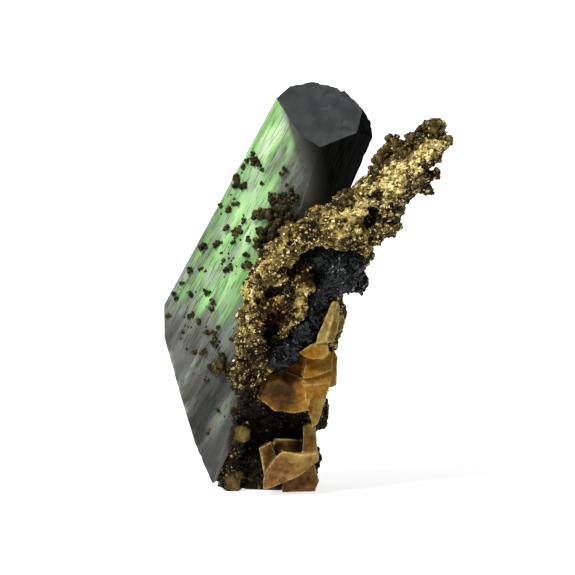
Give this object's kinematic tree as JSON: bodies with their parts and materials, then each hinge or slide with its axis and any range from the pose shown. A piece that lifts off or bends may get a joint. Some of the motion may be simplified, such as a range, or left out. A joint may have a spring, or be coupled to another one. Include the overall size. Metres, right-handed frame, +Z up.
{
  "type": "vivianite crystal specimen",
  "caption": "Leaning see-through green vivianite prism with siderite beads, grown on a crusty golden-brown matrix that rises in a spur, with amber cleavage blocks at its side and foot.",
  "frame": {"origin": "middle of the footprint box, on the surface that the specimen's flat foot rests on", "axes": "+Z up, +X to the right as a viewer faces the large striated crystal face, +Y away from that viewer"},
  "size_m": [0.029, 0.0162, 0.0407],
  "materials": {
    "vivianite": "clear dark green with pearly grey streaks",
    "druse": "rough golden-brown crust of tiny sparkling grains",
    "siderite": "waxy amber to tan cleavage faces",
    "dark_vivianite": "blue-black, small shiny crystals"
  },
  "bodies": {
    "root": {"vivianite_crystal": "vivianite", "drusy_matrix": "druse", "siderite_blocks_upper": "siderite", "siderite_blocks_lower": "siderite", "dark_vivianite_vein": "dark_vivianite"}
  },
  "joints": []
}
